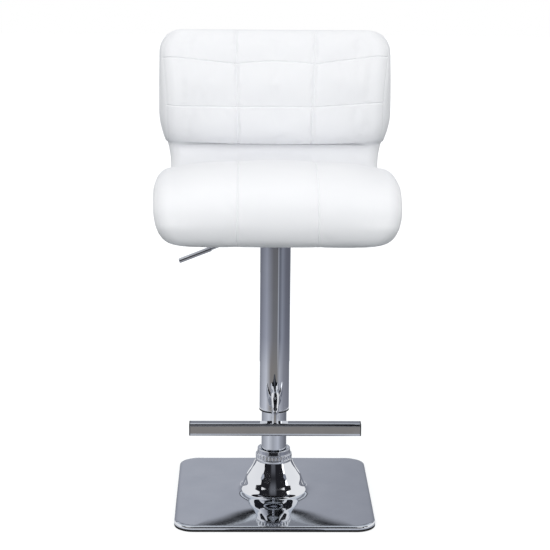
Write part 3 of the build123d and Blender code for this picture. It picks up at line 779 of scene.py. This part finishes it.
def height_lever():
    """Round rod with a thicker metal-look grip, sloping down from its hinge."""
    hinge = Vector(next(j["pos_m"] for j in frame["joints"] if j["name"] == "lever_tilt")) / mm
    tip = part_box("lever_grip")[0] / mm
    end_x, end_z = 1.8, 4.6              # middle of the grip's end from the corner of its box
    slope = math.atan2(hinge.z - tip.z - end_z, hinge.x - tip.x - end_x)
    line = Vector((-math.cos(slope), 0, -math.sin(slope)))
    length, grip = 160, 67
    rod_radius, rod_start, rod_length, rod_points = 3.25, 10, 145, 20
    rod_step = rod_length / (rod_points - 1)
    rod = [hinge + line * (rod_start + rod_step * number) for number in range(rod_points)]
    vertices, faces = swept(rod, [rod_radius] * len(rod), 24)
    make_piece("lever_bar", vertices, faces, "lever", "chromed_steel", ("lever_rod",), crease=50)
    grip_start = length - grip
    stops = [(grip_start, 3.3), (grip_start, 4.4), (grip_start + 0.6, 5.0), (length - 2, 5.0),
             (length - 0.8, 4.7), (length, 3.9)]
    path = [hinge + line * (distance + 0.001 * number) for number, (distance, radius) in enumerate(stops)]
    vertices, faces = swept(path, [radius for distance, radius in stops], 32)
    make_piece("lever_sleeve", vertices, faces, "lever", "grey_plastic", ("lever_grip",), crease=40)


height_lever()


# Studio: floor, painted reflections for the chrome to mirror, lamps, world and camera


def background_rays(tree):
    """1 for the rays that show the background: from the camera, mirrors and glass."""
    rays = put(tree, "LightPath").outputs
    seen = put(tree, "Math", {0: rays["Is Camera Ray"], 1: rays["Is Glossy Ray"]}, operation="MAXIMUM")
    seen = put(tree, "Math", {0: seen.outputs["Value"], 1: rays["Is Transmission Ray"]},
               operation="MAXIMUM")
    return seen.outputs["Value"]


def empty_material(name):
    """Material without nodes, and its node tree."""
    material = bpy.data.materials.new(name)
    material.use_nodes = True
    material.node_tree.nodes.clear()
    return material, material.node_tree


def floor_material():
    """Pale floor that is white to the camera and keeps the stool's shadow near its foot."""
    material, tree = empty_material("pale_floor")
    place = put(tree, "TexCoord").outputs["Object"]
    away = put(tree, "VectorMath", {0: place}, operation="LENGTH")
    glow = put(tree, "MapRange", {"Value": away.outputs["Value"], "From Min": 0.35, "From Max": 1.4,
                                  "To Min": 0.80, "To Max": 1.0})
    strength = put(tree, "Math", {0: background_rays(tree), 1: glow.outputs["Result"]},
                   operation="MULTIPLY")
    light = put(tree, "Emission", {"Color": linear("FFFFFF"), "Strength": strength.outputs["Value"]})
    matt = put(tree, "BsdfDiffuse", {"Color": linear("8C9092")})
    both = put(tree, "AddShader", {0: light.outputs["Emission"], 1: matt.outputs["BSDF"]})
    put(tree, "OutputMaterial", {"Surface": both.outputs["Shader"]})
    return material


def reflection_paint_material():
    """Painted reflection: a glowing sheet that shows the greys given to its corners, for the chrome to mirror."""
    material, tree = empty_material("painted_reflection_board")
    greys = put(tree, "VertexColor", layer_name="grey")
    light = put(tree, "Emission", {"Color": greys.outputs["Color"]})
    put(tree, "OutputMaterial", {"Surface": light.outputs["Emission"]})
    return material


def stage_sheet(name, vertices, faces, material):
    """Sheet of the studio, which is no piece of the stool."""
    mesh = bpy.data.meshes.new(name)
    mesh.from_pydata(vertices, [], faces)
    mesh.materials.append(material)
    sheet = bpy.data.objects.new(name, mesh)
    bpy.context.scene.collection.objects.link(sheet)
    return sheet


def painted_reflection_sheet(name, rings, greys, closed):
    """Painted reflection: a glowing sheet with a grey at each point that only mirror surfaces see."""
    sheet = stage_sheet(name, *stitch_rings(rings, closed_rings=closed), board)
    layer = sheet.data.color_attributes.new("grey", "FLOAT_COLOR", "POINT")
    layer.data.foreach_set("color", np.ravel(greys).astype(np.float32))
    sheet.visible_camera = False
    sheet.visible_diffuse = False
    sheet.visible_shadow = False


def painted_reflection_band(name, *rings):
    """Painted reflection: a glowing board bent round the stool between rings.

    A ring is a radius and stops: an angle from -Y to the right, a height and a colour.
    """
    every_angle = sorted({stop[0] for radius, stops in rings for stop in stops})
    turns = np.unique(np.concatenate([np.arange(every_angle[0], every_angle[-1], 5.0), every_angle]))
    rows = []
    shades = []
    for radius, stops in rings:
        angles, heights, colours = zip(*stops)
        row_heights = np.interp(turns, angles, heights)
        rows.append([(radius * math.sin(math.radians(turn)), -radius * math.cos(math.radians(turn)),
                      float(height)) for turn, height in zip(turns, row_heights)])
        channels = [np.interp(turns, angles, channel) for channel in np.transpose(colours)]
        shades.append(np.transpose(channels))
    painted_reflection_sheet(name, rows, shades, False)


def level(height, greys, light=1.0):
    """Stops of a level ring from its angles and greys, times a share of light."""
    return [(angle, height, light * np.array(linear(grey))) for angle, grey in greys]


def standing(name, radius, *edges):
    """Painted reflection that stands at one radius between level edges: a height and greys each."""
    painted_reflection_band(name, *[(radius, level(height, greys)) for height, greys in edges])


def one_grey(grey, start, end):
    """The same grey from angle to angle."""
    return [(start, grey), (end, grey)]


board = reflection_paint_material()


def painted_reflections():
    """Painted reflections for the chrome: glowing grey sheets on the floor, a dark hood over the camera, sheets
    behind.
    """
    lying = 1.5 * mm
    # Painted reflection of the floor: greys that are lighter and darker round the stool as the light falls on it
    near_greys = [(-150, "8A8C93"), (-75, "C2C5CD"), (-50, "DADDE4"), (-10, "AEB1B9"), (34, "C8CCD6"),
                  (60, "A2A5AE"), (105, "7C7E87"), (150, "75777F")]
    wide_greys = [(-150, "878A92"), (-66, "D0D3DC"), (-30, "8A8683"), (16, "888582"), (36, "B4B7C0"),
                  (70, "8E9099"), (150, "787A83")]
    far_greys = [(-150, "70727C"), (-66, "A2A5B1"), (-14, "76767A"), (17, "747477"), (24, "B4B7C0"),
                 (31, "686B75"), (54, "9094A0"), (85, "747681"), (150, "666873")]
    painted_reflection_band("near_floor_reflection", (0.22, level(lying, near_greys)), (0.57, level(lying, near_greys)))
    painted_reflection_band("wide_floor_reflection", (0.58, level(lying, wide_greys, 1.1)), (0.9, level(lying, wide_greys)),
              (1.2, level(lying, far_greys, 1.1)), (2.5, level(lying, far_greys, 0.86)),
              (7.0, level(lying, far_greys, 1.2)))

    # Painted dark reflection: a hood in front with a paler gap, and dark sheets beyond it for the flare of the
    # bell
    hood_radius, flare_radius = 1.0, 2.7
    dark = "242428"
    hood = linear(dark)
    gap = linear("6C6E74")
    foot = [(-125, 1.35, hood), (-88, 0.95, hood), (-58, 0.74, hood), (-50, 0.30, hood),
            (-20, 0.30, hood), (-11, 0.30, gap), (4, 0.30, gap), (12, 0.30, hood), (46, 0.30, hood),
            (55, 0.74, hood), (85, 0.95, hood), (125, 1.35, hood)]
    head = [(-125, 2.1, hood), (-58, 2.1, hood), (-50, 1.2, hood), (46, 1.2, hood), (55, 2.1, hood),
            (125, 2.1, hood)]
    painted_reflection_band("painted_dark_hood", (hood_radius, foot), (hood_radius, head))
    for name, angles, heads in (("left_flare", (-72, -58, -48), (0.66, 0.95, 1.5)),
                                ("right_flare", (42, 52, 68), (1.5, 0.95, 0.66))):
        low_edge = [(angle, 0.52, hood) for angle in angles]
        high_edge = [(angle, height, hood) for angle, height in zip(angles, heads)]
        painted_reflection_band(name, (flare_radius, low_edge), (flare_radius, high_edge))

    # Painted shade in reflection: a dark line along the foot bar, mirrored above and in front of its upper edge
    brow = one_grey("101012", -58, 58)
    painted_reflection_band("painted_dark_brow", (0.20, level(0.535, brow)), (0.34, level(0.60, brow)),
              (hood_radius, level(1.2, brow)))
    bar_dark = one_grey(dark, -36, 30)
    standing("bar_strip", flare_radius, (0.05, bar_dark), (0.40, bar_dark))

    # Painted reflections behind the stool, for the plate and the top of the foot bar
    back_radius = 0.95
    behind = [(140, "868992"), (165, "A2A5AE"), (180, "AEB1BA"), (195, "B2B5BE"), (220, "8C8F98")]
    edge = one_grey("141416", 140, 220)
    pale = one_grey("D2D8E0", 140, 220)
    bar_grey = one_grey("8C8F97", 145, 215)
    standing("painted_back_reflection", back_radius, (0, behind), (0.53, behind), (0.55, edge), (0.566, edge))
    standing("back_head", back_radius, (0.566, pale), (1.6, pale))
    standing("painted_bar_reflection", 0.5, (0.345, bar_grey), (0.43, bar_grey))

    # Painted highlight: a pale glowing sheet under the seat, mirrored by the top of the lever
    under_seat = 0.553
    painted_reflection_band("painted_lever_highlight", (0.11, level(under_seat, one_grey("9A9CA4", -150, -70))),
              (0.27, level(under_seat, one_grey("F4F5F8", -150, -70))))

    # Painted shadow: a dark strip round the base standing for the floor's contact shade, mirrored by its rolled
    # rim
    rings = [[(p.x * mm, p.y * mm, mm) for p in rounded_square(base_half + reach, base_corner + reach)]
             for reach in (1, 40)]
    painted_reflection_sheet("painted_rim_shadow", rings, [[linear("5C5E68")] * len(ring) for ring in rings], True)


def studio():
    """Pale floor, painted reflections, softboxes and a white world."""
    size = 9.0
    corners = [(-size, -size, 0), (size, -size, 0), (size, size, 0), (-size, size, 0)]
    stage_sheet("floor", corners, [(0, 1, 2, 3)], floor_material())
    painted_reflections()

    def lamp(name, place, target, size_m, watts):
        light = bpy.data.lights.new(name, "AREA")
        light.shape = "SQUARE"
        light.size = size_m
        light.energy = watts
        holder = bpy.data.objects.new(name, light)
        bpy.context.scene.collection.objects.link(holder)
        holder.location = place
        holder.rotation_euler = (Vector(target) - Vector(place)).to_track_quat("-Z", "Y").to_euler()
        return holder

    lamp("key_softbox", (-1.5, -2.4, 2.6), (0, 0, 0.65), 1.6, 22)
    lamp("fill_softbox", (2.2, -2.2, 2.0), (0, 0, 0.6), 1.8, 13)
    lamp("top_softbox", (0, 0.2, 3.0), (0, 0, 0.5), 1.6, 2)
    front = lamp("front_softbox", (0, -3.3, 0.5), (0, 0, 0.7), 2.0, 13)
    front.visible_glossy = False

    world = bpy.data.worlds.new("white_studio")
    bpy.context.scene.world = world
    world.use_nodes = True
    tree = world.node_tree
    tree.nodes.clear()
    strength = put(tree, "MapRange", {"Value": background_rays(tree), "To Min": 0.80, "To Max": 1.0})
    light = put(tree, "Background", {"Color": linear("FFFFFF"), "Strength": strength.outputs["Result"]})
    put(tree, "OutputWorld", {"Surface": light.outputs["Background"]})


def photo_camera():
    """Camera fitted to the photo: in front, a little left of the column, looking down."""
    focal_pixels = 1697
    frame_pixels = 550
    place = Vector((-0.065, -3.238, 1.262))
    aim_x = -0.0006
    pitch = math.radians(13.9)
    yaw = math.atan2(aim_x - place.x, -place.y)
    roll = math.radians(0.5)
    camera_data = bpy.data.cameras.new("photo_camera")
    camera_data.sensor_width = 36
    camera_data.lens = focal_pixels / frame_pixels * camera_data.sensor_width
    camera_data.clip_end = 50
    camera = bpy.data.objects.new("photo_camera", camera_data)
    bpy.context.scene.collection.objects.link(camera)
    turn = Matrix.Rotation(-yaw, 4, "Z")
    tilt = Matrix.Rotation(math.pi / 2 - pitch, 4, "X")
    lean = Matrix.Rotation(roll, 4, "Z")
    camera.matrix_world = Matrix.Translation(place) @ turn @ tilt @ lean
    bpy.context.scene.camera = camera


studio()
photo_camera()
bpy.context.scene.view_settings.view_transform = "Standard"
